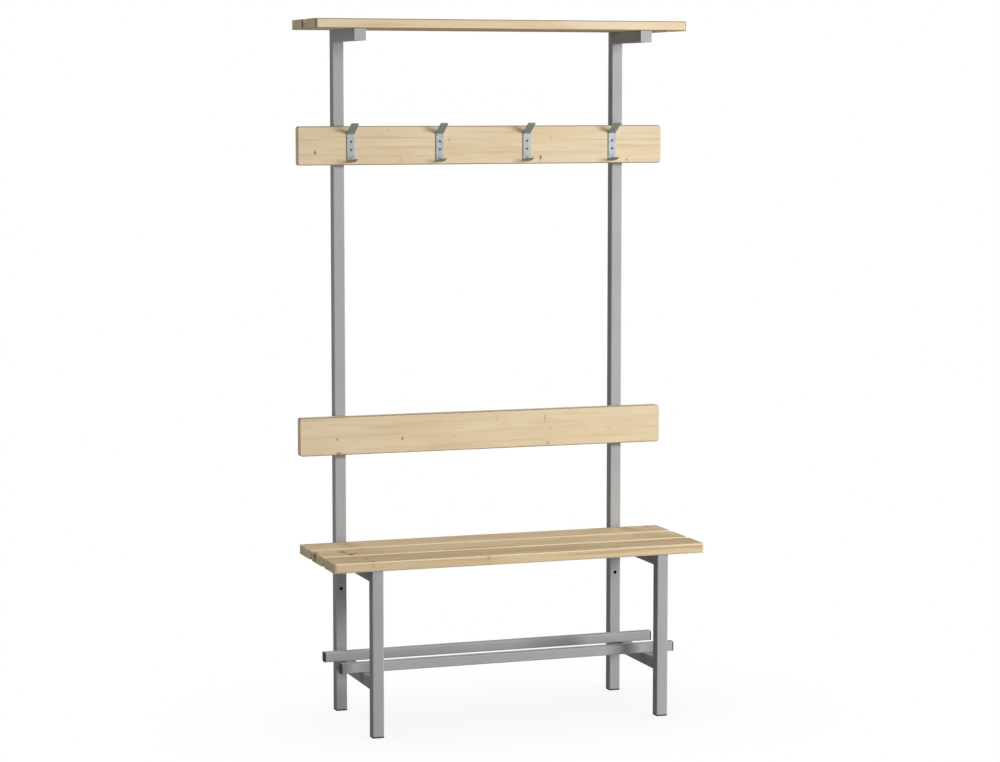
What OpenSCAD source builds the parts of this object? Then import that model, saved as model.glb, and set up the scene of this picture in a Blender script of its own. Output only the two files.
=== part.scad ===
// Bench with a coat rack. Two side frames of square steel tube carry a slatted seat, two shoe
// tubes, a backrest board, a hook board with bent-strip coat hooks, and a slatted top shelf.
// X runs along the bench, -Y is its front and +Z is up. The origin is on the floor, in the
// middle of the whole length and depth.

/* [Overall] */
// Length of every board, end to end
board_length = 1000; // [800:10:1600]
// Height of the shelf's top face above the floor
total_height = 1800; // [1600:10:2000]
// Height of the seat's top face above the floor
seat_height = 450; // [400:5:500]
// How far the boards run past the side frames' outer faces
frame_inset = 100; // [60:5:150]

/* [Boards] */
// Width of every board and slat
board_w = 100; // [80:1:120]
// Thickness of every board and slat
board_t = 25; // [22:1:30]
// Rounding of the long edges
edge_r = 4; // [1:0.5:6]
// Rounding of the sawn ends
end_r = 2; // [1:0.5:4]
// Rounding of the four corners of a board's wide face
corner_r = 8; // [4:0.5:12]
// Gap between two seat slats
seat_gap = 16; // [8:1:25]
// Gap between the rear seat slat and the uprights
upright_gap = 8; // [6:1:20]
// How far the seat runs past the front legs
seat_overhang = 5; // [0:1:10]
// Gap between the two shelf slats
shelf_gap = 30; // [10:1:40]
// Rise from the seat's top face to the backrest's lower edge
backrest_rise = 230; // [120:5:300]
// Height from the hook board's upper edge to the shelf's top face
above_hooks_height = 270; // [200:5:350]

/* [Steel frame] */
// Outer size of the square frame tube
tube = 30; // [25:1:40]
// Wall of the frame tube and the shoe tube
tube_wall = 1.5; // [1.2:0.1:2]
// Outer corner radius of both tubes
tube_r = 3; // [2.5:0.1:4]
// Leg length of a weld bead
weld_size = 3; // [2:0.5:4]
// How far the shelf arms run past the shelf, with their end plates
arm_overhang = 2; // [1:1:20]
// Thickness of the plate that closes an arm's end
arm_plate_t = 2; // [1:0.5:3]
// Diameter of the wall-fixing hole through each upright
wall_hole_d = 9; // [6:0.5:12]
// Drop from the seat rails' top face to the wall-fixing holes
wall_hole_drop = 100; // [60:5:180]

/* [Shoe rack] */
// Height of the lower side rails' top face
rack_height = 150; // [100:5:200]
// Outer size of the square shoe tube
shoe_tube = 25; // [20:1:30]
// Clear gap between a shoe tube and the upright or leg nearest to it
rack_leg_gap = 63; // [30:1:80]
// How far a shoe tube runs past the side frames' outer faces, with its plug
rack_overhang = 55; // [20:1:90]

/* [Plastic plugs] */
// Thickness of a foot under its tube
foot_t = 4; // [3:0.5:8]
// Thickness of a shoe tube plug's flange
plug_t = 3; // [2:0.5:5]
// Depth of a plug inside its tube
plug_depth = 18; // [12:1:25]
// Height of a plug's gripping fins
plug_fin_h = 1.5; // [1:0.1:2]
// Thickness of a plug's gripping fins
plug_fin_t = 2; // [1:0.5:3]
// Clearance between a plug's fins and the tube's inner wall
plug_fit = 0.2; // [0.1:0.05:0.4]

/* [Coat hooks] */
// From a board's end to the nearest hook's centre line
hook_inset = 140; // [60:5:180]
// Width of a hook's strip
hook_w = 20; // [15:1:30]
// Thickness of a hook's strip
hook_t = 3; // [2.5:0.1:4]
// Inner radius of a hook's bends
hook_bend_r = 4; // [3:0.5:6]
// From the hook board's lower edge to a hook's lowest point
hook_rise = 8; // [2:1:15]
// Straight height of a hook's plate between its bends
hook_plate_h = 63; // [55:1:75]
// Straight length of the upper prong
upper_prong = 46; // [30:1:60]
// Slope of the upper prong above the horizontal, in degrees
upper_slope = 32; // [10:1:45]
// Straight length of the lower prong
lower_prong = 25; // [15:1:40]
// Slope of the lower prong above the horizontal, in degrees
lower_slope = 17; // [5:1:40]
// Corner cut off a prong's tip
prong_corner = 2; // [0.5:0.5:5]
// From the upper bend down to the upper hook screw
hook_screw_drop = 18; // [12:1:22]
// Distance between a hook's two screws
hook_screw_gap = 21; // [15:1:25]

/* [Screws] */
// Shank diameter of a frame screw
screw_d = 5; // [4:0.5:6]
// Head diameter of a frame screw
screw_head_d = 9.5; // [8:0.5:11]
// Head height of a frame screw
screw_head_h = 3; // [2:0.5:4]
// Diameter of a frame screw head's flat top, as a share of the head's diameter
head_top_share = 0.7; // [0.5:0.05:0.9]
// Depth that a frame screw reaches into a board
screw_bite = 16; // [12:1:18]
// Length that a shoe tube's screw shows inside the tube
screw_end = 5; // [3:1:8]
// Spacing of a joint's two screws, as a share of the bearing length
screw_pair_share = 0.5; // [0.3:0.05:0.55]
// Shank diameter of a hook screw
hook_screw_d = 3.5; // [3:0.5:4.5]
// Head diameter of a hook screw
hook_head_d = 7; // [6:0.5:8]
// Length of a hook screw
hook_screw_length = 20; // [14:1:22]
// Width of a screw head's cross recess
recess_w = 1.2; // [0.8:0.1:1.5]
// Depth of a screw head's cross recess
recess_h = 1.4; // [0.8:0.1:1.6]
// Clearance round a screw's shank, and under its point
screw_fit = 0.2; // [0.1:0.05:0.3]
// Clearance round a shelf screw's head, in the hole that lets it into the arm
head_fit = 0.75; // [0.5:0.25:1.5]

/* [Hidden] */
$fn = 48;

steel_colour = "#9b9d9f";
timber_colour = "#dcc8a0";
zinc_colour = "#a9b5ba";
plastic_colour = "#26272a";

LEFT = -1;
RIGHT = 1;
SIDES = [LEFT, RIGHT];
seat_slat_count = 3;
hook_count = 4;
plug_fin_count = 3;
bend_steps = 16;

// Cuts run this far past the faces that they open
overrun = board_t / 10;

// Along X
frame_w = board_length - 2 * frame_inset;
side_x = frame_w / 2 - tube / 2;
hook_step = (board_length - 2 * hook_inset) / (hook_count - 1);
shoe_tube_l = frame_w + 2 * (rack_overhang - plug_t);

// Along Y. The rear screws' heads are what reaches furthest back
seat_depth = seat_slat_count * board_w + (seat_slat_count - 1) * seat_gap;
total_depth = screw_head_h + tube + upright_gap + seat_depth;
frame_back = total_depth / 2 - screw_head_h;
upright_front = frame_back - tube;
seat_back = upright_front - upright_gap;
seat_front = seat_back - seat_depth;
leg_front = seat_front + seat_overhang;
leg_back = leg_front + tube;
shelf_front = frame_back - 2 * board_w - shelf_gap;
arm_front = shelf_front - arm_overhang;
rear_shoe_tube_y = upright_front - rack_leg_gap - shoe_tube / 2;
front_shoe_tube_y = leg_back + rack_leg_gap + shoe_tube / 2;
board_front = upright_front - board_t;

// Along Z
seat_rail_top = seat_height - board_t;
seat_rail_bottom = seat_rail_top - tube;
lower_rail_bottom = rack_height - tube;
arm_top = total_height - board_t;
arm_bottom = arm_top - tube;
wall_hole_z = seat_rail_top - wall_hole_drop;
backrest_bottom = seat_height + backrest_rise;
hook_board_bottom = total_height - above_hooks_height - board_w;

// Coat hook: the outer radius of its bends, and where its plate starts and ends
hook_outer_r = hook_t + hook_bend_r;
hook_plate_bottom = hook_board_bottom + hook_rise + hook_outer_r;
hook_plate_top = hook_plate_bottom + hook_plate_h;
hook_screw_zs = [
    hook_plate_top - hook_screw_drop,
    hook_plate_top - hook_screw_drop - hook_screw_gap
];

// Rear edge of seat slat i and shelf slat i, counted from the back
function seat_slat_back(i) = seat_back - i * (board_w + seat_gap);
function shelf_slat_back(i) = frame_back - i * (board_w + shelf_gap);
function hook_x(i) = -board_length / 2 + hook_inset + i * hook_step;

// A joint's two screws, centred on the stretch from a to b where the pieces meet
function screw_pair(a, b) =
    let (middle = (a + b) / 2, half = abs(a - b) * screw_pair_share / 2)
    [middle - half, middle + half];
function seat_screw_ys(i) =
    screw_pair(seat_slat_back(i), max(seat_slat_back(i) - board_w, leg_back));
function shelf_screw_ys(i) =
    screw_pair(min(shelf_slat_back(i), upright_front), shelf_slat_back(i) - board_w);
backrest_screw_zs = screw_pair(backrest_bottom, backrest_bottom + board_w);
hook_board_screw_zs = screw_pair(hook_board_bottom, hook_board_bottom + board_w);
all_seat_screw_ys = [for (i = [0 : seat_slat_count - 1]) each seat_screw_ys(i)];
all_shelf_screw_ys = [for (i = [0, 1]) each shelf_screw_ys(i)];
shoe_tube_ys = [rear_shoe_tube_y, front_shoe_tube_y];

// Shared outlines and stock

module rounded_square(w, h, r) {
    square([w - 2 * r, h], center = true);
    square([w, h - 2 * r], center = true);
    for (x = [-1, 1], y = [-1, 1])
        translate([x * (w / 2 - r), y * (h / 2 - r)]) circle(r);
}

module tube_section(size) {
    difference() {
        rounded_square(size, size, tube_r);
        rounded_square(size - 2 * tube_wall, size - 2 * tube_wall, tube_r - tube_wall);
    }
}

// Tubes along each axis, centred on their other two axes
module tube_up(z0, z1) {
    translate([0, 0, z0]) linear_extrude(z1 - z0) tube_section(tube);
}

module tube_along_y(y0, y1) {
    translate([0, y1, 0]) rotate([90, 0, 0]) linear_extrude(y1 - y0) tube_section(tube);
}

// A board along X, with rounded long edges, corners and ends, centred on the origin
module board(depth, height) {
    lying = depth > height;
    intersection() {
        rotate([90, 0, 90]) linear_extrude(board_length, center = true)
            rounded_square(depth, height, edge_r);
        linear_extrude(2 * height, center = true)
            rounded_square(board_length, depth, lying ? corner_r : end_r);
        rotate([90, 0, 0]) linear_extrude(2 * depth, center = true)
            rounded_square(board_length, height, lying ? end_r : corner_r);
    }
}

// Round cuts: upwards from the origin, and towards -Y from the origin
module cut_up(d, h) {
    translate([0, 0, -overrun]) cylinder(d = d, h = h + overrun);
}

module cut_forward(d, h) {
    rotate([90, 0, 0]) cut_up(d, h);
}

// Screws. Each stands on its head's seat, with its shank along +Z

module cross_recess(head_d) {
    for (turn = [0, 90]) rotate(turn)
        translate([0, 0, recess_h / 2])
            cube([head_d / 2, recess_w, recess_h], center = true);
}

module frame_screw(length) {
    point_h = screw_d / 2;
    difference() {
        union() {
            cylinder(d = screw_d, h = length - point_h);
            translate([0, 0, length - point_h]) cylinder(d1 = screw_d, d2 = 0, h = point_h);
            rotate([180, 0, 0])
                cylinder(d1 = screw_head_d, d2 = head_top_share * screw_head_d, h = screw_head_h);
        }
        translate([0, 0, -screw_head_h]) cross_recess(screw_head_d);
    }
}

module hook_screw() {
    head_h = (hook_head_d - hook_screw_d) / 2;
    point_h = hook_screw_d;
    difference() {
        union() {
            cylinder(d1 = hook_head_d, d2 = hook_screw_d, h = head_h);
            translate([0, 0, head_h])
                cylinder(d = hook_screw_d, h = hook_screw_length - head_h - point_h);
            translate([0, 0, hook_screw_length - point_h])
                cylinder(d1 = hook_screw_d, d2 = 0, h = point_h);
        }
        cross_recess(hook_head_d);
    }
}

screw_hole_d = screw_d + 2 * screw_fit;
head_hole_d = screw_head_d + 2 * head_fit;
hook_hole_d = hook_screw_d + 2 * screw_fit;

// Steel frame

module upright(side) {
    color(steel_colour) difference() {
        translate([side * side_x, frame_back - tube / 2, 0]) tube_up(foot_t, arm_top);
        for (z = concat(backrest_screw_zs, hook_board_screw_zs))
            translate([side * side_x, frame_back, z]) cut_forward(screw_hole_d, tube + overrun);
        translate([side * side_x, frame_back, wall_hole_z])
            cut_forward(wall_hole_d, tube + overrun);
    }
}

module front_leg(side) {
    color(steel_colour)
        translate([side * side_x, leg_front + tube / 2, 0]) tube_up(foot_t, seat_rail_top);
}

module seat_rail(side) {
    color(steel_colour) difference() {
        translate([side * side_x, 0, seat_rail_top - tube / 2])
            tube_along_y(leg_back, upright_front);
        for (y = all_seat_screw_ys)
            translate([side * side_x, y, seat_rail_bottom]) cut_up(screw_hole_d, tube + overrun);
    }
}

module lower_rail(side) {
    color(steel_colour) difference() {
        translate([side * side_x, 0, rack_height - tube / 2])
            tube_along_y(leg_back, upright_front);
        for (y = shoe_tube_ys)
            translate([side * side_x, y, lower_rail_bottom]) cut_up(screw_hole_d, tube + overrun);
    }
}

// Its screws go in through its lower wall, and their heads bear on the inside of its upper wall
module shelf_arm(side) {
    color(steel_colour) difference() {
        translate([side * side_x, 0, arm_top - tube / 2])
            tube_along_y(arm_front + arm_plate_t, upright_front);
        for (y = all_shelf_screw_ys) translate([side * side_x, y, arm_bottom]) {
            cut_up(head_hole_d, 2 * tube_wall);
            cut_up(screw_hole_d, tube + overrun);
        }
    }
}

module arm_end_plate(side) {
    color(steel_colour)
        translate([side * side_x, arm_front + arm_plate_t, arm_top - tube / 2])
            rotate([90, 0, 0]) linear_extrude(arm_plate_t) rounded_square(tube, tube, tube_r);
}

// A bead in the corner at (y, z), filling the quarter towards dy and dz
module weld_bead(y, z, dy, dz) {
    translate([0, y, z]) rotate([90, 0, 90])
        linear_extrude(tube - 2 * tube_r, center = true)
            intersection() {
                circle(weld_size);
                translate([dy * weld_size / 2, dz * weld_size / 2])
                    square(weld_size, center = true);
            }
}

module welds(side) {
    color(steel_colour) translate([side * side_x, 0, 0]) {
        weld_bead(upright_front, seat_rail_top, -1, 1);
        weld_bead(upright_front, seat_rail_bottom, -1, -1);
        weld_bead(leg_back, seat_rail_bottom, 1, -1);
        weld_bead(upright_front, arm_bottom, -1, -1);
        for (z = [[rack_height, 1], [lower_rail_bottom, -1]]) {
            weld_bead(upright_front, z[0], -1, z[1]);
            weld_bead(leg_back, z[0], 1, z[1]);
        }
    }
}

// Shoe rack

module shoe_tube_at(y) {
    color(steel_colour) difference() {
        translate([0, y, rack_height + shoe_tube / 2]) rotate([90, 0, 90])
            linear_extrude(shoe_tube_l, center = true) tube_section(shoe_tube);
        for (side = SIDES)
            translate([side * side_x, y, rack_height]) cut_up(screw_hole_d, 2 * tube_wall);
    }
}

// Timber

module seat_slat(i) {
    y = seat_slat_back(i) - board_w / 2;
    color(timber_colour) difference() {
        translate([0, y, seat_height - board_t / 2]) board(board_w, board_t);
        for (side = SIDES, hole_y = seat_screw_ys(i))
            translate([side * side_x, hole_y, seat_rail_top])
                cut_up(screw_hole_d, screw_bite + screw_fit);
    }
}

module shelf_slat(i) {
    y = shelf_slat_back(i) - board_w / 2;
    color(timber_colour) difference() {
        translate([0, y, total_height - board_t / 2]) board(board_w, board_t);
        for (side = SIDES, hole_y = shelf_screw_ys(i))
            translate([side * side_x, hole_y, arm_top])
                cut_up(screw_hole_d, screw_bite + screw_fit);
    }
}

// A board on the uprights' front faces, with blind holes for the screws from behind
module upright_board(bottom, screw_zs) {
    difference() {
        translate([0, upright_front - board_t / 2, bottom + board_w / 2]) board(board_t, board_w);
        for (side = SIDES, z = screw_zs)
            translate([side * side_x, upright_front, z])
                cut_forward(screw_hole_d, screw_bite + screw_fit);
    }
}

module backrest_board() {
    color(timber_colour) upright_board(backrest_bottom, backrest_screw_zs);
}

module hook_board() {
    pilot_depth = hook_screw_length - hook_t + screw_fit;
    color(timber_colour) difference() {
        upright_board(hook_board_bottom, hook_board_screw_zs);
        for (i = [0 : hook_count - 1], z = hook_screw_zs)
            translate([hook_x(i), board_front, z]) rotate([180, 0, 0])
                cut_forward(hook_hole_d, pilot_depth);
    }
}

// Coat hook. From its side, x is forward from the board, y is up and z is across the strip.
// At each end of the plate a prong bends forward by an angle and then runs straight

function prong_edge(r, bend, length) =
    let (arc = [
        for (step = [0 : bend_steps])
            let (turn = bend * step / bend_steps) [hook_outer_r - r * cos(turn), r * sin(turn)]
    ])
    concat(arc, [arc[bend_steps] + length * [sin(bend), cos(bend)]]);
function above_plate(points) = [for (p = points) [p.x, p.y + hook_plate_h]];
function below_plate(points) = [for (p = points) [p.x, -p.y]];
function reversed(points) = [for (i = [len(points) - 1 : -1 : 0]) points[i]];

upper_bend = 90 - upper_slope;
lower_bend = 90 + lower_slope;
hook_outline = concat(
    above_plate(prong_edge(hook_outer_r, upper_bend, upper_prong)),
    reversed(above_plate(prong_edge(hook_bend_r, upper_bend, upper_prong))),
    below_plate(prong_edge(hook_bend_r, lower_bend, lower_prong)),
    reversed(below_plate(prong_edge(hook_outer_r, lower_bend, lower_prong)))
);

// Takes the two corners off a prong's tip
module tip_cuts(bend, length) {
    block = 4 * prong_corner;
    translate([hook_outer_r, 0, 0]) rotate(-bend) translate([-hook_outer_r, length, 0])
        for (side = SIDES) translate([hook_t / 2, 0, side * hook_w / 2]) rotate([side * 45, 0, 0])
            translate([0, (block - prong_corner * sqrt(2)) / 2, 0])
                cube([2 * hook_t, block, block], center = true);
}

module coat_hook(i) {
    color(zinc_colour) translate([hook_x(i), board_front, hook_plate_bottom]) difference() {
        rotate([90, 0, -90]) difference() {
            linear_extrude(hook_w, center = true) polygon(hook_outline);
            translate([0, hook_plate_h, 0]) tip_cuts(upper_bend, upper_prong);
            mirror([0, 1, 0]) tip_cuts(lower_bend, lower_prong);
        }
        for (z = hook_screw_zs)
            translate([0, -hook_t, z - hook_plate_bottom]) rotate([-90, 0, 0]) {
                cut_up(hook_hole_d, hook_t + overrun);
                translate([0, 0, screw_fit]) cylinder(d1 = hook_head_d, d2 = 0, h = hook_head_d / 2);
                cut_up(hook_head_d, screw_fit);
            }
    }
}

module hook_screws() {
    color(zinc_colour) for (i = [0 : hook_count - 1], z = hook_screw_zs)
        translate([hook_x(i), board_front - hook_t, z]) rotate([-90, 0, 0]) hook_screw();
}

// Screws through the frame

module screws_from_below(ys, z, length) {
    color(zinc_colour) for (side = SIDES, y = ys)
        translate([side * side_x, y, z]) frame_screw(length);
}

module screws_from_behind(zs) {
    color(zinc_colour) for (side = SIDES, z = zs)
        translate([side * side_x, frame_back, z]) rotate([90, 0, 0]) frame_screw(tube + screw_bite);
}

// Plastic plugs. Each stands on its flange's inner face, with its fins along +Z

module tube_plug(size, flange_t) {
    inner = size - 2 * (tube_wall + plug_fit);
    core = inner - 2 * plug_fin_h;
    fin_step = plug_depth / plug_fin_count;
    inner_r = tube_r - tube_wall;
    translate([0, 0, -flange_t]) linear_extrude(flange_t) rounded_square(size, size, tube_r);
    linear_extrude(plug_depth) rounded_square(core, core, inner_r);
    for (i = [0 : plug_fin_count - 1])
        translate([0, 0, (i + 1) * fin_step - plug_fin_t])
            linear_extrude(plug_fin_t) rounded_square(inner, inner, inner_r);
}

module foot(side, y) {
    color(plastic_colour) translate([side * side_x, y, foot_t]) tube_plug(tube, foot_t);
}

module shoe_plug(side, y) {
    color(plastic_colour)
        translate([side * shoe_tube_l / 2, y, rack_height + shoe_tube / 2])
            rotate([0, -side * 90, 0]) tube_plug(shoe_tube, plug_t);
}

upright(LEFT);  // upright_left
upright(RIGHT);  // upright_right
front_leg(LEFT);  // front_leg_left
front_leg(RIGHT);  // front_leg_right
seat_rail(LEFT);  // seat_rail_left
seat_rail(RIGHT);  // seat_rail_right
lower_rail(LEFT);  // lower_rail_left
lower_rail(RIGHT);  // lower_rail_right
shelf_arm(LEFT);  // shelf_arm_left
shelf_arm(RIGHT);  // shelf_arm_right
arm_end_plate(LEFT);  // arm_end_plate_left
arm_end_plate(RIGHT);  // arm_end_plate_right
welds(LEFT);  // welds_left
welds(RIGHT);  // welds_right
shoe_tube_at(rear_shoe_tube_y);  // shoe_tube_rear
shoe_tube_at(front_shoe_tube_y);  // shoe_tube_front
seat_slat(0);  // seat_slat_rear
seat_slat(1);  // seat_slat_middle
seat_slat(2);  // seat_slat_front
backrest_board();
hook_board();
shelf_slat(0);  // shelf_slat_rear
shelf_slat(1);  // shelf_slat_front
coat_hook(0);  // coat_hook_1
coat_hook(1);  // coat_hook_2
coat_hook(2);  // coat_hook_3
coat_hook(3);  // coat_hook_4
hook_screws();
screws_from_below(all_seat_screw_ys, seat_rail_bottom, tube + screw_bite);  // seat_screws
screws_from_below(all_shelf_screw_ys, arm_top - tube_wall, tube_wall + screw_bite);  // shelf_screws
screws_from_behind(backrest_screw_zs);  // backrest_screws
screws_from_behind(hook_board_screw_zs);  // hook_board_screws
screws_from_below(shoe_tube_ys, lower_rail_bottom, tube + tube_wall + screw_end);  // shoe_tube_screws
foot(LEFT, frame_back - tube / 2);  // foot_rear_left
foot(RIGHT, frame_back - tube / 2);  // foot_rear_right
foot(LEFT, leg_front + tube / 2);  // foot_front_left
foot(RIGHT, leg_front + tube / 2);  // foot_front_right
shoe_plug(LEFT, rear_shoe_tube_y);  // shoe_plug_rear_left
shoe_plug(RIGHT, rear_shoe_tube_y);  // shoe_plug_rear_right
shoe_plug(LEFT, front_shoe_tube_y);  // shoe_plug_front_left
shoe_plug(RIGHT, front_shoe_tube_y);  // shoe_plug_front_right
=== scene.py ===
"""Changing-room bench with a coat rack: varnished spruce boards on a powder-coated steel frame.

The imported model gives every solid's shape and place. This script gives the solids their finishes,
rounds the small parts' edges, and adds the ripples of the weld beads, the studio and the camera.
"""

import math

import bmesh
import bpy
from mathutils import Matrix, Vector


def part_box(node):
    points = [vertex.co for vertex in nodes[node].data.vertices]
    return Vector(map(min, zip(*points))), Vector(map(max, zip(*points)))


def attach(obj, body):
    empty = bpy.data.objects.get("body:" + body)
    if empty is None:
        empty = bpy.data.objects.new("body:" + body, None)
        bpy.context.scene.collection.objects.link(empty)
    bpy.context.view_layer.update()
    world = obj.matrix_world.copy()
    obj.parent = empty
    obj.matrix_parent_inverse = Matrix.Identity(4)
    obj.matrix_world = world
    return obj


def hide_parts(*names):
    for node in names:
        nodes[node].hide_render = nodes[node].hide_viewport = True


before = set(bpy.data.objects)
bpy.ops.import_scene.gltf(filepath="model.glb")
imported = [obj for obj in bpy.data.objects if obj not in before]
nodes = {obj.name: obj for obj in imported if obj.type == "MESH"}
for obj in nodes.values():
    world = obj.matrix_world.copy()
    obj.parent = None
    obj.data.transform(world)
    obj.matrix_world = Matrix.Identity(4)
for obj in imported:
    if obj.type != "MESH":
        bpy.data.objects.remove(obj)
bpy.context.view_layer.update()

MM = 0.001


# Helpers for materials

SMOOTH = {"interpolation_type": "SMOOTHSTEP"}


def linear(hex_colour):
    """sRGB hex to a linear RGBA colour."""
    channels = [int(hex_colour[i : i + 2], 16) / 255 for i in (1, 3, 5)]
    return [c / 12.92 if c <= 0.04045 else ((c + 0.055) / 1.055) ** 2.4 for c in channels] + [1]


def add(tree, kind, *inputs, output=None, **settings):
    """A new node's output: the named one, or else the first that is in use. The inputs come in the
    node's own order, each as a value, another node's output, or None to leave it as it is."""
    node = tree.nodes.new("ShaderNode" + kind)
    for name, value in settings.items():
        setattr(node, name, value)
    in_use = [socket for socket in node.inputs if socket.enabled]
    for socket, value in zip(in_use, inputs):
        if isinstance(value, bpy.types.NodeSocket):
            tree.links.new(value, socket)
        elif value is not None:
            socket.default_value = value
    return node.outputs[output] if output else next(s for s in node.outputs if s.enabled)


def new_material(name, **shader_inputs):
    """An empty material's tree and its shader, with the values that are the same all over."""
    material = bpy.data.materials.new(name)
    material.use_nodes = True
    tree = material.node_tree
    shader = tree.nodes["Principled BSDF"]
    for socket, value in shader_inputs.items():
        shader.inputs[socket.replace("_", " ")].default_value = value
    return material, tree, shader


def surface(tree, shader, colour, roughness, height, relief):
    """Gives the shader its colour and roughness, and height from 0 to 1 as relief, in metres."""
    tree.links.new(colour, shader.inputs["Base Color"])
    tree.links.new(roughness, shader.inputs["Roughness"])
    tree.links.new(add(tree, "Bump", 1, relief, None, height), shader.inputs["Normal"])


def scaled_noise(tree, place, sizes, detail):
    """Noise from 0 to 1 whose blobs are about sizes, in metres, along X, Y and Z."""
    in_blobs = add(tree, "VectorMath", place, sizes, operation="DIVIDE")
    return add(tree, "TexNoise", in_blobs, 1, detail)


def direction(tree):
    """How far a face looks along X, Y and Z, whichever way: 1 where it is square to that axis."""
    normal = add(tree, "NewGeometry", output="Normal")
    return add(tree, "VectorMath", normal, operation="ABSOLUTE")


FLAT, ROUNDED = 0.98, 0.8  # the largest part of a normal, on a flat face and well round an edge


def turned_edge(tree):
    """0 on faces square to an axis, 1 halfway round the edge between two such faces."""
    turned = direction(tree)
    x, y, z = (add(tree, "SeparateXYZ", turned, output=axis) for axis in "XYZ")
    largest = add(tree, "Math", x, y, operation="MAXIMUM")
    largest = add(tree, "Math", largest, z, operation="MAXIMUM")
    return add(tree, "MapRange", largest, FLAT, ROUNDED, **SMOOTH)


# Spruce boards

# Sizes of the patterns: along the board, and across it both ways
WARP_SIZE = (380 * MM, 55 * MM, 55 * MM)
STAIN_SIZE = (220 * MM, 38 * MM, 38 * MM)
STREAK_SIZE = (320 * MM, 9 * MM, 9 * MM)
FIBRE_SIZE = (45 * MM, 0.9 * MM, 0.9 * MM)
RAGGED_SIZE = (9 * MM, 5 * MM, 5 * MM)
GRAIN_SHIFT = (7.3, 1.7, 3.1)  # metres from one board's place in the patterns to the next one's

RING_SPACING = 3.8 * MM  # real rings are 2 to 3 mm apart; drawn coarser, so that they show
WARP = 9 * MM  # how far the rings wander to either side
TAPER = 1 / 55  # how fast the log narrows along the board
LATEWOOD_STARTS, LATEWOOD_FULL, LATEWOOD_FADES = 0.3, 0.86, 0.9  # shares of a ring, from the pith
VARNISH_RELIEF = 0.12 * MM
VARNISH_ROUGHNESS = (0.72, 0.62)  # over earlywood and over latewood
FIBRE_SHARE, LATEWOOD_SHARE = 0.5, 0.4  # of the relief

# A knot's parts, from where they begin to where they are full, then its depth and how ragged its
# outline is, all in half widths
KNOT_RIM_REACH = (3.4, 2.0)
KNOT_HEART_REACH = (2.1, 1.4)
KNOT_PUSH_REACH = (6, 1.8)
KNOT_DEPTH = 4
KNOT_RAGGED = 2.2

KNOT_RIM_SHARE = 0.7  # of the heart's darkness
LARGE_KNOT = 9 * MM
LARGE_KNOT_PUSH = 7 * MM  # how far a knot of that half width pushes the rings aside

# What a pattern is read from and to, and how strongly it then shows
PALE_BAND_RAMP = (0.62, 0.38, 0, 0.45)
FIBRE_RAMP = (0.45, 0.75, 0, 0.22)
STREAK_RANGE = (0.48, 0.75)
END_FACE_RANGE = (0.6, 0.85)

# How strongly the latewood lines show: everywhere, more in stained wood, and more in end grain
RINGS_PLAIN, RINGS_STAINED, RINGS_AT_ENDS = 0.03, 0.22, 0.45
# How strongly the arris colour is painted over the rounded edges, as painted shade or painted highlight
ARRIS_PAINT_SHARE = 0.75

PALE_BAND = "#F6E9DA"
MINERAL_STREAK = "#C9A883"
FIBRE = "#E6D5B8"
END_GRAIN = "#F8EACB"
KNOT_RIM, KNOT_HEART = "#B98550", "#6B4526"
# Colours painted along the arrises: a dark painted shade line, and a pale painted highlight line for
# the seat
ARRIS_SHADE_PAINT, ARRIS_HIGHLIGHT_PAINT = "#75664E", "#FBF1D8"
FACE_EARLY, FACE_LATE = "#EAD9B9", "#D2B07E"
SEAT_EARLY, SEAT_LATE = "#E2CDA6", "#C09A68"


def knot_marks(tree, shifted, seed, knots, half_depth, standing):
    """Each knot's brown parts, as how much they show and their colour, and how far it pushes the
    rings aside."""
    ragged = scaled_noise(tree, seed, RAGGED_SIZE, detail=3)
    marks, pushes = [], []
    for along, across, half_width, tall, darkness in knots:
        size = half_width * MM
        if standing:
            centre = (along * MM, -half_depth, across * MM)
            extent = (size, size * KNOT_DEPTH, size * tall)
        else:
            centre = (along * MM, across * MM, half_depth)
            extent = (size, size * tall, size * KNOT_DEPTH)
        away = add(tree, "VectorMath", shifted, centre, operation="SUBTRACT")
        away = add(tree, "VectorMath", away, extent, operation="DIVIDE")
        away = add(tree, "VectorMath", away, operation="LENGTH")
        away = add(tree, "Math", ragged, KNOT_RAGGED, away, operation="MULTIPLY_ADD")
        rim = add(tree, "MapRange", away, *KNOT_RIM_REACH, 0, KNOT_RIM_SHARE * darkness, **SMOOTH)
        heart = add(tree, "MapRange", away, *KNOT_HEART_REACH, 0, darkness, **SMOOTH)
        marks += [(rim, KNOT_RIM), (heart, KNOT_HEART)]
        most = LARGE_KNOT_PUSH * size / LARGE_KNOT
        pushes.append(add(tree, "MapRange", away, *KNOT_PUSH_REACH, 0, most, **SMOOTH))
    return marks, pushes


def latewood_lines(tree, shifted, seed, pith, pushes):
    """1 in the dark latewood of each ring, 0 between. The rings are tubes round the pith that
    narrow along the board, bent by slow noise and pushed aside by the knots."""
    from_pith = (0, pith[0] * MM, pith[1] * MM)
    across = add(tree, "VectorMath", shifted, from_pith, operation="SUBTRACT")
    across = add(tree, "VectorMath", across, (0, 1, 1), operation="MULTIPLY")
    radius = add(tree, "VectorMath", across, operation="LENGTH")
    warp = scaled_noise(tree, seed, WARP_SIZE, detail=2)
    radius = add(tree, "Math", warp, 2 * WARP, radius, operation="MULTIPLY_ADD")
    along = add(tree, "SeparateXYZ", shifted)
    radius = add(tree, "Math", along, TAPER, radius, operation="MULTIPLY_ADD")
    for push in pushes:
        radius = add(tree, "Math", radius, push, operation="ADD")
    ring = add(tree, "Math", radius, RING_SPACING, operation="DIVIDE")
    ring = add(tree, "Math", ring, operation="FRACT")
    rise = add(tree, "MapRange", ring, LATEWOOD_STARTS, LATEWOOD_FULL, **SMOOTH)
    fall = add(tree, "MapRange", ring, 1, LATEWOOD_FADES, **SMOOTH)
    return add(tree, "Math", rise, fall, operation="MULTIPLY")


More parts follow.
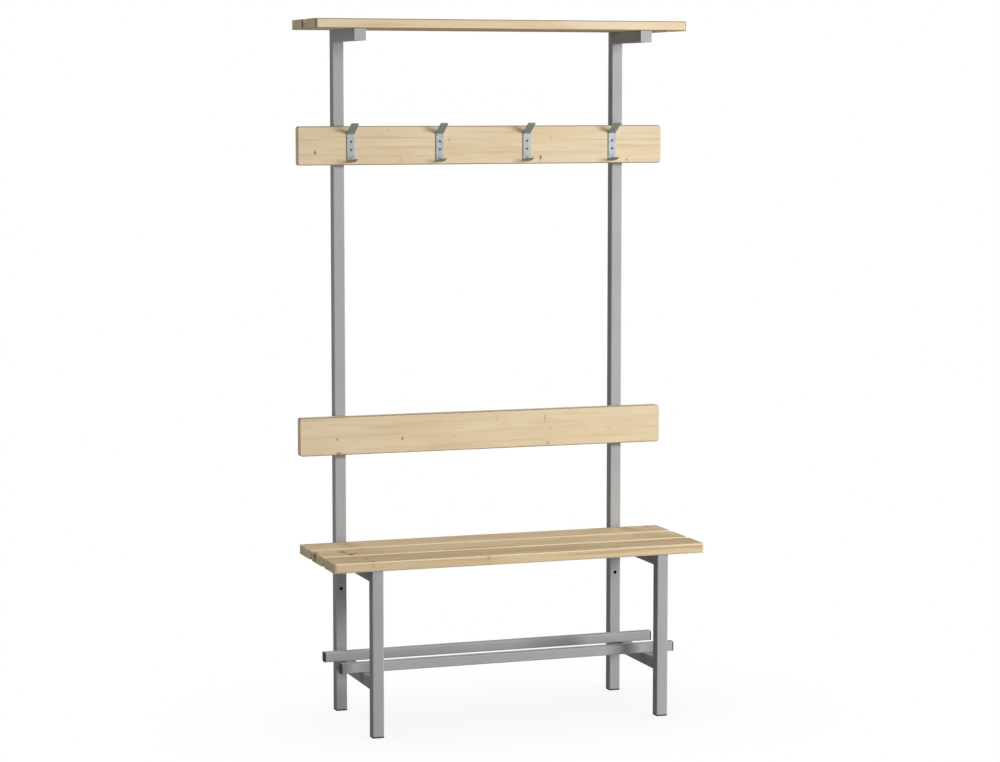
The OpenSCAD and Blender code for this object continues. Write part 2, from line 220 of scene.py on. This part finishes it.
def varnished_spruce(node, pith, knots, early, late, stained, arris, grain):
    """Planed spruce under a satin varnish: pale wide earlywood, thin darker latewood lines that
    arch along the board, brown knots, and a soft sheen.

    pith is the log's centre from the board's, across and up. Each knot is (along, across, half
    width, times as tall, darkness), from the board's centre. All are in millimetres. stained is
    how much brown mineral streak shows."""
    low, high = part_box(node)
    size = high - low
    standing = size.z > size.y
    half_depth = min(size.y, size.z) / 2
    material, tree, shader = new_material(
        "varnished spruce " + node,
        Specular_IOR_Level=0.12,
        Coat_Weight=0.02,
        Coat_Roughness=0.4,
    )
    place = add(tree, "TexCoord", output="Object")
    shifted = add(tree, "VectorMath", place, (low + high) / 2, operation="SUBTRACT")
    patch = [shift * grain for shift in GRAIN_SHIFT]
    seed = add(tree, "VectorMath", shifted, patch, operation="ADD")
    marks, pushes = knot_marks(tree, shifted, seed, knots, half_depth, standing)
    latewood = latewood_lines(tree, shifted, seed, pith, pushes)
    fibre = scaled_noise(tree, seed, FIBRE_SIZE, detail=3)
    stain = scaled_noise(tree, seed, STAIN_SIZE, detail=3)
    streak = scaled_noise(tree, seed, STREAK_SIZE, detail=2)
    end_face = add(tree, "SeparateXYZ", direction(tree))
    end_face = add(tree, "MapRange", end_face, *END_FACE_RANGE, **SMOOTH)

    # The wood's own colours, then the latewood lines
    colour = add(tree, "Mix", end_face, linear(early), linear(END_GRAIN), data_type="RGBA")
    lines = add(tree, "Math", stain, RINGS_STAINED, RINGS_PLAIN, operation="MULTIPLY_ADD")
    lines = add(tree, "Math", end_face, RINGS_AT_ENDS, lines, operation="MULTIPLY_ADD")
    lines = add(tree, "Math", latewood, lines, operation="MULTIPLY")
    colour = add(tree, "Mix", lines, colour, linear(late), data_type="RGBA")

    # Tints laid over it: pale bands, mineral streaks and fibres
    long_face = add(tree, "Math", 1, end_face, operation="SUBTRACT")
    streak = add(tree, "MapRange", streak, *STREAK_RANGE, 0, stained, **SMOOTH)
    tints = [
        (add(tree, "MapRange", stain, *PALE_BAND_RAMP, **SMOOTH), PALE_BAND),
        (add(tree, "Math", streak, long_face, operation="MULTIPLY"), MINERAL_STREAK),
        (add(tree, "MapRange", fibre, *FIBRE_RAMP, **SMOOTH), FIBRE),
    ]
    for amount, tint in tints:
        colour = add(tree, "Mix", amount, colour, linear(tint), data_type="RGBA", blend_type="MULTIPLY")

    # Knots, then the arrises: a painted shade line on the standing boards and the shelf, and a painted
    # highlight line on the seat
    painted_edge = add(tree, "Math", turned_edge(tree), ARRIS_PAINT_SHARE, operation="MULTIPLY")
    for amount, tint in marks + [(painted_edge, arris)]:
        colour = add(tree, "Mix", amount, colour, linear(tint), data_type="RGBA")

    roughness = add(tree, "MapRange", latewood, 0, 1, *VARNISH_ROUGHNESS, **SMOOTH)
    height = add(tree, "Math", latewood, LATEWOOD_SHARE, operation="MULTIPLY")
    height = add(tree, "Math", fibre, FIBRE_SHARE, height, operation="MULTIPLY_ADD")
    surface(tree, shader, colour, roughness, height, VARNISH_RELIEF)
    return material


# node: (pith across and up, knots, earlywood, latewood, mineral streak, arris colour painted as shade
# or highlight, grain)
BOARDS = {
    "hook_board": (
        (55, -18),
        [
            (-454.8, -16.2, 1.8, 2.6, 0.9),
            (-259.5, 39.9, 1.5, 1.2, 0.7),
            (-227, -37.3, 2.4, 0.6, 0.5),
            (-93.9, 13.3, 1.6, 3.0, 0.3),
            (158.9, -33, 2.3, 2.0, 0.95),
            (189.2, 21.5, 2.2, 1.6, 0.2),
            (402.5, -41.6, 1.8, 1.6, 0.5),
        ],
        FACE_EARLY, FACE_LATE, 0.25, ARRIS_SHADE_PAINT, 1,
    ),
    "backrest_board": (
        (48, 12),
        [
            (-400, -7.9, 2.6, 1.1, 0.5),
            (-396, -45.5, 5, 0.5, 0.75),
            (-223.7, -13.1, 1.5, 2.2, 0.9),
            (-82, -14, 1.2, 1.1, 0.6),
            (39.2, 28.7, 2.6, 2.2, 0.22),
            (172.5, 25.9, 2, 3.2, 0.45),
            (188.6, -3.8, 1.2, 1.2, 0.95),
            (181.5, -42, 3.6, 1.2, 0.3),
            (357.1, -9.3, 1.2, 1.2, 0.8),
        ],
        FACE_EARLY, FACE_LATE, 0.2, ARRIS_SHADE_PAINT, 2,
    ),
    "shelf_slat_rear": (
        (15, -60),
        [(210, -13.5, 3, 1.3, 0.8), (-330, 21.5, 2.4, 1, 0.8)],
        FACE_EARLY, FACE_LATE, 0.3, ARRIS_SHADE_PAINT, 3,
    ),
    "shelf_slat_front": (
        (-20, -50),
        [(-120, 26.5, 2.6, 1.3, 0.8), (370, -13.5, 2.2, 1, 0.7)],
        FACE_EARLY, FACE_LATE, 0.3, ARRIS_SHADE_PAINT, 4,
    ),
    "seat_slat_rear": (
        (10, -48),
        [
            (-481.3, 41.4, 2.5, 1.5, 0.8),
            (-410.4, 39.5, 3, 1.3, 0.5),
            (-314, 44.5, 5, 0.8, 0.4),
            (311.5, 35.3, 4, 1.5, 0.3),
            (463.2, 23.6, 4, 2, 0.6),
        ],
        SEAT_EARLY, SEAT_LATE, 0.5, ARRIS_HIGHLIGHT_PAINT, 5,
    ),
    "seat_slat_middle": (
        (-12, -42),
        [
            (-498.5, 15.1, 5, 2.2, 0.95),
            (-428.9, 7.2, 7, 1.7, 0.95),
            (-416.8, -33.2, 8, 1.2, 0.8),
            (-399.7, -9.3, 3.5, 1.5, 0.6),
            (178.8, 29.3, 5, 1.2, 0.25),
            (377.4, 7.4, 6, 1, 0.25),
        ],
        SEAT_EARLY, SEAT_LATE, 0.5, ARRIS_HIGHLIGHT_PAINT, 6,
    ),
    "seat_slat_front": (
        (18, -55),
        [
            (-400.9, 1.4, 8, 1.2, 0.2),
            (-396.4, -39.5, 5, 1.2, 0.9),
            (-92.8, -47.5, 3.4, 1.2, 0.4),
            (249.7, 42.9, 5, 1, 0.3),
            (260.5, -35.5, 6, 1.2, 0.3),
        ],
        SEAT_EARLY, SEAT_LATE, 0.5, ARRIS_HIGHLIGHT_PAINT, 7,
    ),
}
for name, facts in BOARDS.items():
    material = varnished_spruce(name, *facts)
    nodes[name].data.materials.clear()
    nodes[name].data.materials.append(material)


# Powder-coated steel tube

COAT_DRIFT = 160 * MM
FLAKE = 0.5 * MM
ORANGE_PEEL = 2.2 * MM
ORANGE_PEEL_RELIEF = 0.03 * MM
TUBE_WALL = 1.5 * MM
BORE_BLUR = 0.2 * MM  # the width over which a bore turns dark

DRIFT_RANGE = (0.3, 0.7)
FLAKE_RAMP = (0.35, 0.65, 0, 0.12)
COAT_ROUGHNESS_RAMP = (0.3, 0.7, 0.62, 0.52)
COAT_EDGE_SHARE = 0.35

COAT_DARK, COAT_LIGHT = "#A8A9AB", "#AFB0B2"
COAT_FLAKE = "#DDDFE1"
COAT_EDGE = "#C6C8CA"
# Inside the uprights: bare steel, painted near-black as painted shade in the bore
BARE_STEEL_AND_BORE_SHADE = "#2A2826"


def in_the_bore(tree, place, upright):
    """1 inside an upright's tube, 0 on its outside."""
    low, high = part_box(upright)
    offset = add(tree, "VectorMath", place, (low + high) / 2, operation="SUBTRACT")
    offset = add(tree, "VectorMath", offset, operation="ABSOLUTE")
    x, y = (add(tree, "SeparateXYZ", offset, output=axis) for axis in "XY")
    offset = add(tree, "Math", x, y, operation="MAXIMUM")
    bore = (high.x - low.x) / 2 - TUBE_WALL
    return add(tree, "MapRange", offset, bore + BORE_BLUR, bore, **SMOOTH)


def powder_coated_steel(upright=None):
    """Silver-grey polyester powder coat with fine flake, baked on welded tube: an even satin grey
    with a faint orange peel that softens highlights, and a little thinner on the corners. The
    powder doesn't reach the inside of an upright, which stays bare and is painted near-black,
    darker than bare steel, as painted shade in the tube."""
    name = "silver powder-coated steel" + (" " + upright if upright else "")
    material, tree, shader = new_material(name, Specular_IOR_Level=0.22)
    place = add(tree, "TexCoord", output="Object")
    drift = scaled_noise(tree, place, [COAT_DRIFT] * 3, detail=3)
    flake = scaled_noise(tree, place, [FLAKE] * 3, detail=1)
    peel = scaled_noise(tree, place, [ORANGE_PEEL] * 3, detail=1)
    drift = add(tree, "MapRange", drift, *DRIFT_RANGE, **SMOOTH)
    colour = add(tree, "Mix", drift, linear(COAT_DARK), linear(COAT_LIGHT), data_type="RGBA")
    coats = [
        (add(tree, "MapRange", flake, *FLAKE_RAMP, **SMOOTH), COAT_FLAKE),
        (add(tree, "Math", turned_edge(tree), COAT_EDGE_SHARE, operation="MULTIPLY"), COAT_EDGE),
    ]
    # The bore: bare steel painted near-black, partly as painted shade
    if upright:
        coats.append((in_the_bore(tree, place, upright), BARE_STEEL_AND_BORE_SHADE))
    for amount, tint in coats:
        colour = add(tree, "Mix", amount, colour, linear(tint), data_type="RGBA")
    roughness = add(tree, "MapRange", flake, *COAT_ROUGHNESS_RAMP, **SMOOTH)
    surface(tree, shader, colour, roughness, peel, ORANGE_PEEL_RELIEF)
    return material


# Zinc-plated steel strip and screws

SPANGLE = 7 * MM
ROLL_MARK_SIZE = (0.8 * MM, 0.8 * MM, 30 * MM)  # they run up and down the strip
ROLL_MARK_RELIEF = 0.03 * MM
RECESS_SHADE_DEPTHS = (0.1 * MM, 0.8 * MM)  # where the painted shade begins and where it is full, behind the head's face

CLOUD_RANGE = (0.3, 0.7)
ROLL_MARK_RAMP = (0.4, 0.7, 0, 0.3)
ZINC_ROUGHNESS = (0.46, 0.58)
RECESS_SHADE = "#24282A"


def zinc_plated_steel(name, tint, shade, recessed_from=None):
    """Bright zinc with a blue passivation: a cool grey metal, cloudy, with faint rolling marks
    along the strip and a blurred reflection. The hook screws' recesses, behind the heads' faces
    at y = recessed_from, are painted dark as painted shade."""
    material, tree, shader = new_material(name, Metallic=0.4, Specular_IOR_Level=0.3)
    place = add(tree, "TexCoord", output="Object")
    cloud = scaled_noise(tree, place, [SPANGLE] * 3, detail=4)
    marks = scaled_noise(tree, place, ROLL_MARK_SIZE, detail=2)
    cloudy = add(tree, "MapRange", cloud, *CLOUD_RANGE, **SMOOTH)
    colour = add(tree, "Mix", cloudy, linear(tint), linear(shade), data_type="RGBA")
    marked = add(tree, "MapRange", marks, *ROLL_MARK_RAMP, **SMOOTH)
    colour = add(tree, "Mix", marked, colour, linear(shade), data_type="RGBA")
    # The recess is painted dark as painted shade
    if recessed_from is not None:
        depth = add(tree, "SeparateXYZ", place, output="Y")
        depth = add(tree, "Math", depth, recessed_from, operation="SUBTRACT")
        shaded_recess = add(tree, "MapRange", depth, *RECESS_SHADE_DEPTHS, **SMOOTH)
        colour = add(tree, "Mix", shaded_recess, colour, linear(RECESS_SHADE), data_type="RGBA")
    roughness = add(tree, "MapRange", cloud, *CLOUD_RANGE, *ZINC_ROUGHNESS, **SMOOTH)
    surface(tree, shader, colour, roughness, marks, ROLL_MARK_RELIEF)
    return material


# Black moulded polyethylene

MOULD_GRAIN = 0.7 * MM
MOULD_GRAIN_RELIEF = 0.05 * MM

MOULD_GRAIN_RANGE = (0.35, 0.65)
PLASTIC_ROUGHNESS_RAMP = (0.3, 0.7, 0.5, 0.64)
SCUFF_SHARE = 0.4

BLACK_LOW, BLACK_HIGH = "#202124", "#2B2C30"
SCUFFED = "#4A4C50"


def moulded_polyethylene():
    """Injection-moulded black plugs with a fine spark-eroded grain: nearly black, with a dull
    soft highlight and scuffed lighter edges."""
    material, tree, shader = new_material("black moulded polyethylene")
    place = add(tree, "TexCoord", output="Object")
    grain = scaled_noise(tree, place, [MOULD_GRAIN] * 3, detail=2)
    raised = add(tree, "MapRange", grain, *MOULD_GRAIN_RANGE, **SMOOTH)
    colour = add(tree, "Mix", raised, linear(BLACK_LOW), linear(BLACK_HIGH), data_type="RGBA")
    scuffs = add(tree, "Math", turned_edge(tree), SCUFF_SHARE, operation="MULTIPLY")
    colour = add(tree, "Mix", scuffs, colour, linear(SCUFFED), data_type="RGBA")
    roughness = add(tree, "MapRange", grain, *PLASTIC_ROUGHNESS_RAMP, **SMOOTH)
    surface(tree, shader, colour, roughness, grain, MOULD_GRAIN_RELIEF)
    return material


steel = powder_coated_steel()
hook_head_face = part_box("hook_screws")[0].y
strip_zinc = zinc_plated_steel("blue zinc-plated strip", "#A8B0B2", "#98A0A2")
screw_zinc = zinc_plated_steel("zinc-plated screws", "#7C8589", "#6C7579")
hook_screw_zinc = zinc_plated_steel("zinc-plated hook screws", "#5E686C", "#535C60", hook_head_face)
plastic = moulded_polyethylene()

# material, slot, and how the names of its nodes start
FINISHES = [
    (steel, "coated_steel",
     ("front_leg", "seat_rail", "lower_rail", "shelf_arm", "arm_end", "welds", "shoe_tube_rear",
      "shoe_tube_front")),
    (powder_coated_steel("upright_left"), "coated_steel", ("upright_left",)),
    (powder_coated_steel("upright_right"), "coated_steel", ("upright_right",)),
    (strip_zinc, "zinc_steel", ("coat_hook",)),
    (screw_zinc, "zinc_steel",
     ("seat_screws", "shelf_screws", "backrest_screws", "hook_board_screws", "shoe_tube_screws")),
    (hook_screw_zinc, "zinc_steel", ("hook_screws",)),
    (plastic, "black_plastic", ("foot", "shoe_plug")),
]
finish_of = {}
for material, slot, starts in FINISHES:
    for name in nodes:
        if name.startswith(starts):
            finish_of[name] = material, slot
            nodes[name].data.materials.clear()
            nodes[name].data.materials.append(material)


# Pieces that stand for a solid


def stand_in(name, mesh, material, slot, solid):
    """A smooth-shaded piece from a finished mesh, on the one body, in place of a solid."""
    data = bpy.data.meshes.new(name)
    mesh.to_mesh(data)
    mesh.free()
    data.materials.append(material)
    for polygon in data.polygons:
        polygon.use_smooth = True
    piece = bpy.data.objects.new(name, data)
    bpy.context.scene.collection.objects.link(piece)
    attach(piece, "root")
    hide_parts(solid)
    return piece


# Small parts with worked edges

STRIP_EDGE = 0.7 * MM
PLUG_EDGE = 0.9 * MM
EDGE_SEGMENTS = 3
SHARP = math.radians(35)  # edges that turn by more are rounded
FLAT_WITHIN = math.radians(1)  # faces that turn by less are joined
SAME_POINT = 0.002 * MM  # corners that lie closer are joined
LARGE_FACES_FIRST = 100  # so that a large face stays evenly shaded up to its rounded edge


def eased_copy(node, width):
    """A copy of a solid with every sharp edge rounded, which stands for the solid."""
    mesh = bmesh.new()
    mesh.from_mesh(nodes[node].data)
    bmesh.ops.remove_doubles(mesh, verts=mesh.verts, dist=SAME_POINT)
    bmesh.ops.dissolve_limit(mesh, angle_limit=FLAT_WITHIN, verts=mesh.verts, edges=mesh.edges)
    material, slot = finish_of[node]
    piece = stand_in(node + "_eased", mesh, material, slot, node)
    bevel = piece.modifiers.new("edges", "BEVEL")
    bevel.width = width
    bevel.segments = EDGE_SEGMENTS
    bevel.limit_method = "ANGLE"
    bevel.angle_limit = SHARP
    piece.modifiers.new("flat_faces", "WEIGHTED_NORMAL").weight = LARGE_FACES_FIRST


for name in nodes:
    if name.startswith("coat_hook"):
        eased_copy(name, STRIP_EDGE)
    elif name.startswith(("foot", "shoe_plug")):
        eased_copy(name, PLUG_EDGE)


# Weld beads: each is a run of overlapping ripples in the corner of two tubes

WELD_LEG = 3 * MM
WELD_ROOT = 0.3 * MM  # how far inside the two tubes a bead begins
RIPPLE = 2.4 * MM
RIPPLE_STEPS = 8
ARC_STEPS = 6

# Shares of the leg: a ripple's height, how much a run narrows at its ends, and its face's hollow
RIPPLE_SHARE = 0.2
END_SHARE = 0.35
HOLLOW_SHARE = 0.12


def weld_run(mesh, x0, x1, y, z, dy, dz):
    """One bead from x0 to x1, in the corner at y, z that opens towards dy and dz, each 1 or -1."""
    steps = round((x1 - x0) / RIPPLE) * RIPPLE_STEPS
    rings = []
    for i in range(steps + 1):
        phase = i / RIPPLE_STEPS % 1
        from_end = min(i, steps - i) / RIPPLE_STEPS
        fullness = 1 - RIPPLE_SHARE * (1 - math.sqrt(1 - phase))
        fullness -= END_SHARE * max(0, 1 - from_end) ** 2
        x = x0 + (x1 - x0) * i / steps
        ring = [mesh.verts.new((x, y - dy * WELD_ROOT, z - dz * WELD_ROOT))]
        for j in range(ARC_STEPS + 1):
            turn = math.pi / 2 * j / ARC_STEPS
            leg = WELD_LEG * fullness * (1 - HOLLOW_SHARE * math.sin(2 * turn))
            point = (x, y + dy * leg * math.cos(turn), z + dz * leg * math.sin(turn))
            ring.append(mesh.verts.new(point))
        rings.append(ring)
    for a, b in zip(rings, rings[1:]):
        for j in range(len(a)):
            k = (j + 1) % len(a)
            mesh.faces.new((a[j], a[k], b[k], b[j]))
    mesh.faces.new(rings[0])
    mesh.faces.new(reversed(rings[-1]))


def rippled_beads(side):
    """All the weld beads of one side frame."""
    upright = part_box("upright_" + side)
    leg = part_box("front_leg_" + side)
    seat_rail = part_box("seat_rail_" + side)
    lower_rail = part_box("lower_rail_" + side)
    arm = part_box("shelf_arm_" + side)
    low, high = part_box("welds_" + side)
    front, back = upright[0].y, leg[1].y
    corners = [
        (front, seat_rail[1].z, -1, 1),
        (front, seat_rail[0].z, -1, -1),
        (back, seat_rail[0].z, 1, -1),
        (front, arm[0].z, -1, -1),
    ]
    for z, dz in ((lower_rail[1].z, 1), (lower_rail[0].z, -1)):
        corners += [(front, z, -1, dz), (back, z, 1, dz)]
    mesh = bmesh.new()
    for y, z, dy, dz in corners:
        weld_run(mesh, low.x, high.x, y, z, dy, dz)
    bmesh.ops.recalc_face_normals(mesh, faces=mesh.faces)
    stand_in("weld_ripples_" + side, mesh, steel, "coated_steel", "welds_" + side)


for side in ("left", "right"):
    rippled_beads(side)


# Studio

AMBIENT = 0.05  # what the world still gives as a light
REFLECTED = 0.4  # how white it looks in a reflection
WHITE, BLACK = linear("#FFFFFF"), linear("#000000")


def seen_white(tree):
    """How white the studio looks: 1 to the camera, less in reflections, and 0 as a light."""
    camera_ray = add(tree, "LightPath", output="Is Camera Ray")
    through_glass = add(tree, "LightPath", output="Is Transmission Ray")
    reflected = add(tree, "LightPath", output="Is Glossy Ray")
    seen = add(tree, "Math", camera_ray, through_glass, operation="MAXIMUM")
    reflected = add(tree, "Math", reflected, REFLECTED, operation="MULTIPLY")
    return add(tree, "Math", seen, reflected, operation="MAXIMUM")


world = bpy.data.worlds.new("white studio")
bpy.context.scene.world = world
world.use_nodes = True
sky = world.node_tree
background = sky.nodes["Background"]
background.inputs["Color"].default_value = WHITE
strength = add(sky, "Math", seen_white(sky), AMBIENT, operation="MAXIMUM")
sky.links.new(strength, background.inputs["Strength"])

FLOOR_SIZE = 30  # metres
SHADOW_REACH = 0.6  # metres
SHADOW_DEPTH = 0.17  # how much of the white is lost where nothing is open above the floor
SHADOW_SAMPLES = 16
SEEN_RANGE = (0, 0.1)
FLOOR_PAINT = "#8C8C8C"


def white_floor():
    """A painted studio floor that the camera sees as white, with a soft painted shadow where the object
    closes off the light from all round."""
    material, tree, shader = new_material("white studio floor", Roughness=0.9, Specular_IOR_Level=0)
    shader.inputs["Emission Color"].default_value = WHITE
    seen = seen_white(tree)

    # To the light it is grey paint, and where it is seen it only glows, so no lamp shows on it
    glowing = add(tree, "MapRange", seen, *SEEN_RANGE, **SMOOTH)
    paint = add(tree, "Mix", glowing, linear(FLOOR_PAINT), BLACK, data_type="RGBA")
    tree.links.new(paint, shader.inputs["Base Color"])
    open_sky = add(tree, "AmbientOcclusion", None, SHADOW_REACH, output="AO", samples=SHADOW_SAMPLES)
    glow = add(tree, "Math", open_sky, SHADOW_DEPTH, 1 - SHADOW_DEPTH, operation="MULTIPLY_ADD")
    glow = add(tree, "Math", seen, glow, operation="MULTIPLY")
    tree.links.new(glow, shader.inputs["Emission Strength"])
    return material


bpy.ops.mesh.primitive_plane_add(size=FLOOR_SIZE)
floor = bpy.context.object
floor.name = "studio_floor"
floor.data.materials.append(white_floor())

# name: (place, the point that it faces, width, height, watts), in metres
SOFTBOXES = {
    "key": ((3.3, -3.6, 2.45), (0, 0, 0.9), 1.6, 1.6, 224),
    "front": ((-0.3, -5.0, 0.6), (0, 0, 0.9), 2.0, 1.0, 46),
    "left_fill": ((-1.25, 0.1, 1.15), (0, 0, 1.15), 0.3, 1.7, 2.8),
    "top": ((0.2, -0.6, 4.2), (0, 0, 0), 2.0, 2.0, 14),
    "back": ((3.6, 3.4, 1.6), (0, 0, 0.9), 1.4, 1.4, 60),
    "back_high": ((-0.4, 3.6, 4.2), (0, 0, 0.9), 1.4, 1.4, 60),
}
for name, (place, target, width, height, watts) in SOFTBOXES.items():
    lamp = bpy.data.lights.new(name, "AREA")
    lamp.shape = "RECTANGLE"
    lamp.size = width
    lamp.size_y = height
    lamp.energy = watts
    light = bpy.data.objects.new(name, lamp)
    light.location = place
    light.rotation_euler = (Vector(target) - Vector(place)).to_track_quat("-Z", "Y").to_euler()
    bpy.context.scene.collection.objects.link(light)


# Camera: at the photograph's place, level in roll and tipped a little down

CAMERA_PLACE = (-2.35049, -6.74715, 1.6057)  # metres
CAMERA_TURN, CAMERA_DIP = math.radians(19.2162), math.radians(5.8562)
LENS, SENSOR = 99.85, 36  # millimetres, which the camera takes as they are

camera_data = bpy.data.cameras.new("camera")
camera_data.lens = LENS
camera_data.sensor_width = SENSOR
camera = bpy.data.objects.new("camera", camera_data)
camera.location = CAMERA_PLACE
camera.rotation_euler = (math.pi / 2 - CAMERA_DIP, 0, -CAMERA_TURN)
bpy.context.scene.collection.objects.link(camera)
bpy.context.scene.camera = camera
bpy.context.scene.view_settings.view_transform = "Standard"
